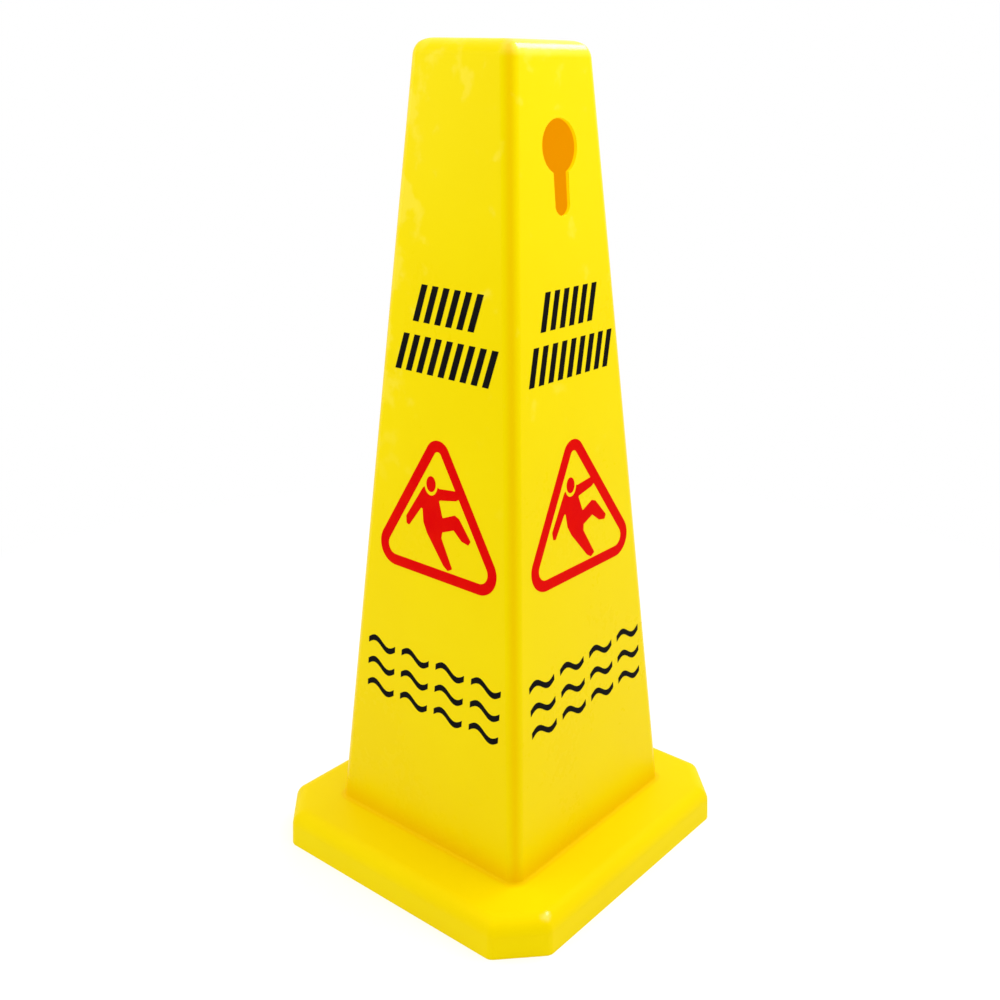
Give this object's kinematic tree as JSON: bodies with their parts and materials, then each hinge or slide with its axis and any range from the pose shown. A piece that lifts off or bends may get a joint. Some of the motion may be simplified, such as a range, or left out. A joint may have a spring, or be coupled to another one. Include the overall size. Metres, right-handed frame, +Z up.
{
  "type": "floor warning pillar",
  "caption": "Hollow tapered floor warning pillar on a square base with cut corners, with a hanging keyhole near the top and slip-hazard marks on its sides.",
  "frame": {"origin": "centre of the square base, on the plane of the rim that stands on the floor", "axes": "+Z up the pillar, -Y out of the front face, which has the keyhole, +X to the right of that face"},
  "size_m": [0.289, 0.289, 0.65],
  "materials": {
    "yellow_plastic": "satin moulded polypropylene",
    "red_ink": "screen-printed ink, satin",
    "black_ink": "screen-printed ink, satin"
  },
  "bodies": {
    "root": {"pillar": "yellow_plastic", "front_slip_sign": "red_ink", "right_slip_sign": "red_ink", "back_slip_sign": "red_ink", "left_slip_sign": "red_ink", "front_bars": "black_ink", "right_bars": "black_ink", "back_bars": "black_ink", "left_bars": "black_ink", "front_waves": "black_ink", "right_waves": "black_ink", "back_waves": "black_ink", "left_waves": "black_ink"}
  },
  "joints": []
}
